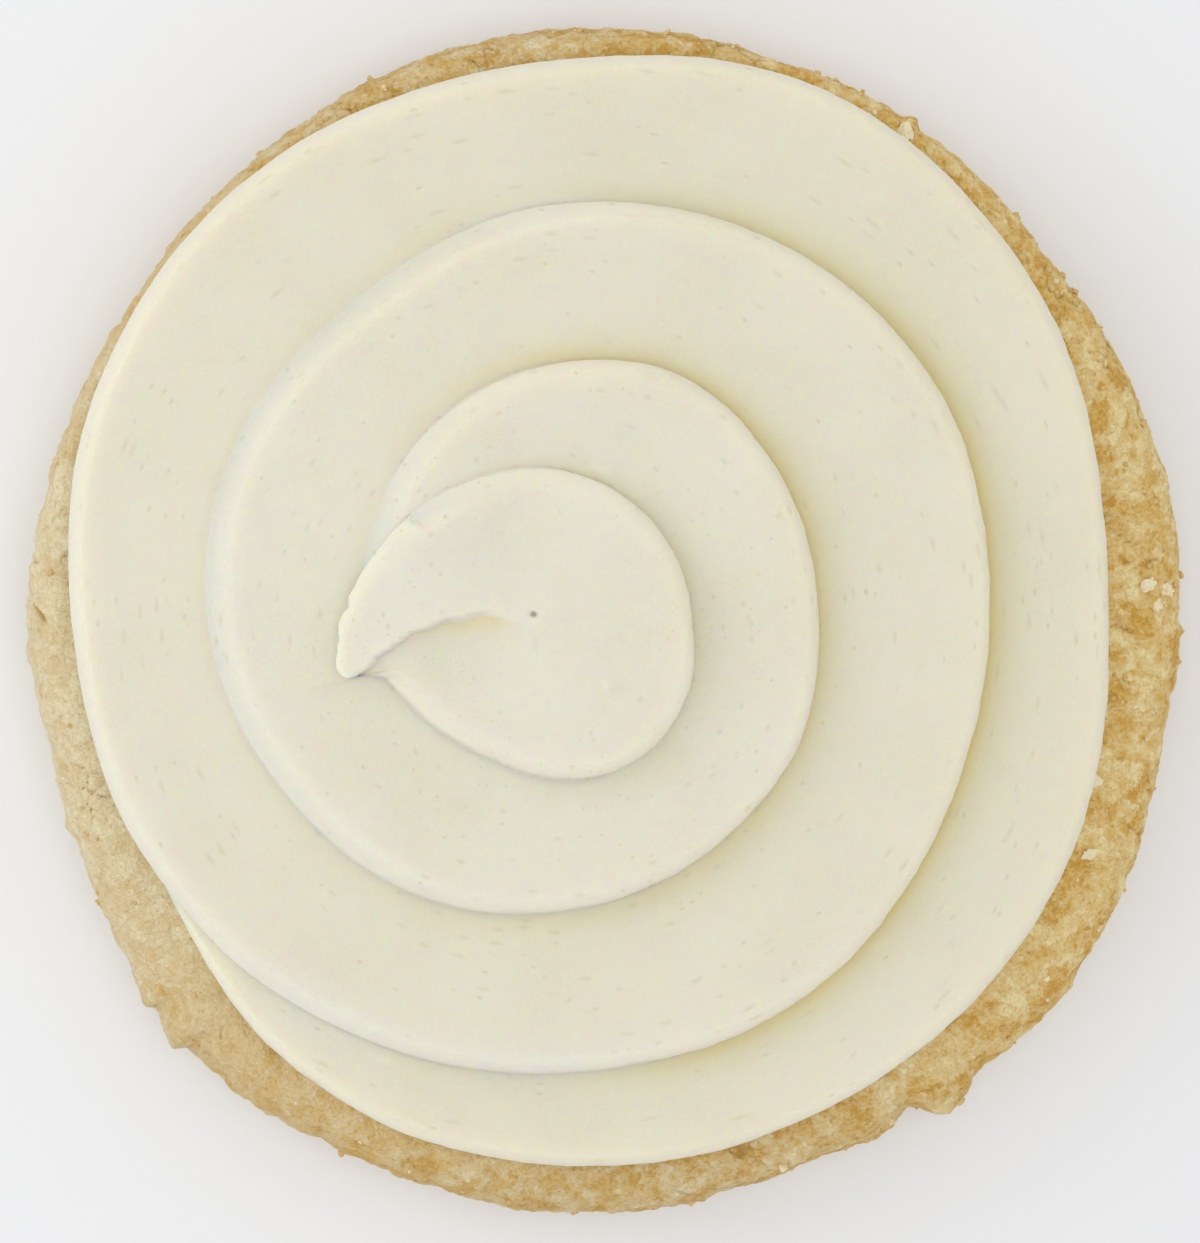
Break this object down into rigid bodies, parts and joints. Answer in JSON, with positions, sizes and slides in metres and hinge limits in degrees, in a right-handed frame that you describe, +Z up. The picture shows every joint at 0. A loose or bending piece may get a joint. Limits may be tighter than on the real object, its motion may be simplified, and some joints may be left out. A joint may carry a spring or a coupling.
{
  "type": "iced sugar cookie",
  "caption": "Thick round sugar cookie with a craggy golden rim and a broad ribbon of pale cream icing piped in a stepped swirl that ends in a drawn-out tail.",
  "frame": {"origin": "on the table, below the middle of the cookie's outline", "axes": "+Z up, out of the icing; +X to the side where the rim shows widest; -Y to the side where the ribbon of icing runs on from its start, so that the tail points to -X"},
  "size_m": [0.0994, 0.102, 0.0249],
  "materials": {
    "biscuit": "baked crumb, matt, pale golden tan, darker in the cracks and towards the rim",
    "icing": "smooth pale cream icing, satin, with small air pits"
  },
  "bodies": {
    "root": {"biscuit": "biscuit", "icing": "icing"}
  },
  "joints": []
}
